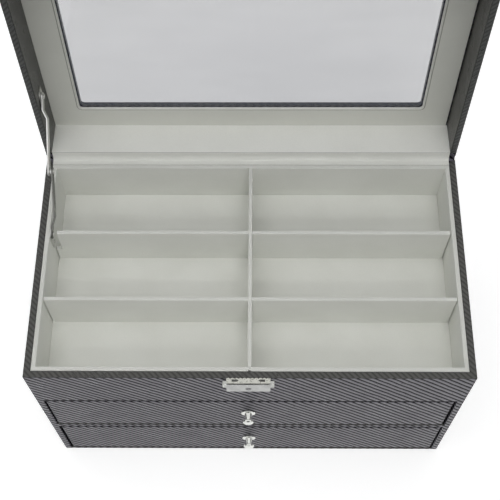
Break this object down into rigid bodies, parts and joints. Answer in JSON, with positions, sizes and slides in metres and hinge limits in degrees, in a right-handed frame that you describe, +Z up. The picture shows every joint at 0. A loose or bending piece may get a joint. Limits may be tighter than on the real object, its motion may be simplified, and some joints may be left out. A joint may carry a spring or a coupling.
{
  "type": "eyeglasses storage box",
  "caption": "Leatherette eyeglasses storage box: a tray with cells under a windowed lid on a folding stay, a lock with release buttons, and pull-out drawers with knobs.",
  "frame": {"origin": "centre of the box's underside", "axes": "+X to the right seen from the front, +Y to the back where the hinges are, +Z up; stored with the lid open"},
  "size_m": [0.34, 0.2517, 0.3891],
  "materials": {
    "leatherette_board": "fibreboard wrapped in dark twill-embossed leatherette",
    "cream_lining": "board covered in smooth cream suede cloth",
    "steel": "plated steel",
    "chromed_metal": "bright plated",
    "glass": "clear"
  },
  "bodies": {
    "box": {"back_board": "leatherette_board", "base_hinge_leaves": "steel", "bottom_board": "leatherette_board", "case_screws": "steel", "drawer_shelf": "leatherette_board", "front_liner": "cream_lining", "front_rail": "leatherette_board", "hinge_pins": "steel", "left_liner": "cream_lining", "left_side_board": "leatherette_board", "lock_case": "chromed_metal", "rear_liner": "cream_lining", "rear_rim_lining": "cream_lining", "release_spring": "steel", "right_liner": "cream_lining", "right_side_board": "leatherette_board", "stay_base_plate": "steel", "tray_floor_board": "cream_lining", "tray_floor_lining": "cream_lining", "tray_front_divider": "cream_lining", "tray_long_divider": "cream_lining", "tray_rear_divider": "cream_lining"},
    "left_button": {"left_release_button": "chromed_metal"},
    "lid": {"lid_front_board": "leatherette_board", "lid_hinge_leaves": "steel", "lid_left_board": "leatherette_board", "lid_lining_panel": "cream_lining", "lid_rear_board": "leatherette_board", "lid_rear_lining": "cream_lining", "lid_right_board": "leatherette_board", "lid_rim_lining": "cream_lining", "lid_screws": "steel", "lock_hasp": "chromed_metal", "stay_lid_plate": "steel", "window_frame_board": "leatherette_board", "window_pane": "glass"},
    "key_cylinder": {"lock_cylinder": "chromed_metal"},
    "lower_drawer": {"lower_drawer_back": "cream_lining", "lower_drawer_bottom": "cream_lining", "lower_drawer_cross_dividers": "cream_lining", "lower_drawer_front": "leatherette_board", "lower_drawer_knob": "chromed_metal", "lower_drawer_knob_screw": "steel", "lower_drawer_left_side": "cream_lining", "lower_drawer_long_divider": "cream_lining", "lower_drawer_right_side": "cream_lining"},
    "right_button": {"right_release_button": "chromed_metal"},
    "stay_lower": {"stay_elbow_rivet": "steel", "stay_lower_link": "steel"},
    "stay_upper": {"stay_upper_link": "steel"},
    "upper_drawer": {"upper_drawer_back": "cream_lining", "upper_drawer_bottom": "cream_lining", "upper_drawer_cross_dividers": "cream_lining", "upper_drawer_front": "leatherette_board", "upper_drawer_knob": "chromed_metal", "upper_drawer_knob_screw": "steel", "upper_drawer_left_side": "cream_lining", "upper_drawer_long_divider": "cream_lining", "upper_drawer_right_side": "cream_lining"}
  },
  "joints": [
    {"name": "lid_hinge", "type": "hinge", "parent": "box", "child": "lid", "pos_m": [0, 0.0975, 0.193], "axis": [1, 0, 0], "range_deg": [0, 94.1]},
    {"name": "stay_lower_pivot", "type": "hinge", "parent": "box", "child": "stay_lower", "pos_m": [-0.1595, 0.027, 0.188], "axis": [1, 0, 0], "range_deg": [0, 132.23]},
    {"name": "stay_upper_pivot", "type": "hinge", "parent": "lid", "child": "stay_upper", "pos_m": [-0.1633, 0.11401, 0.25548], "axis": [1, 0, 0], "range_deg": [-118.24, 0]},
    {"name": "upper_drawer_slide", "type": "slide", "parent": "box", "child": "upper_drawer", "axis": [0, -1, 0], "range_m": [0, 0.15]},
    {"name": "lower_drawer_slide", "type": "slide", "parent": "box", "child": "lower_drawer", "axis": [0, -1, 0], "range_m": [0, 0.15]},
    {"name": "left_button_press", "type": "slide", "parent": "box", "child": "left_button", "axis": [1, 0, 0], "range_m": [0, 0.0016], "stiffness_N_per_m": 300, "springref_m": -0.002, "deforming": ["release_spring"]},
    {"name": "right_button_press", "type": "slide", "parent": "box", "child": "right_button", "axis": [-1, 0, 0], "range_m": [0, 0.0016], "stiffness_N_per_m": 300, "springref_m": -0.002, "deforming": ["release_spring"]},
    {"name": "key_turn", "type": "hinge", "parent": "box", "child": "key_cylinder", "pos_m": [-0.0008, -0.099, 0.1835], "axis": [0, 1, 0], "range_deg": [0, 90]}
  ],
  "couplings": [
    {"joint": "stay_lower_pivot", "follows": "lid_hinge", "ratio": 1.4047},
    {"joint": "stay_upper_pivot", "follows": "lid_hinge", "ratio": -1.256}
  ]
}
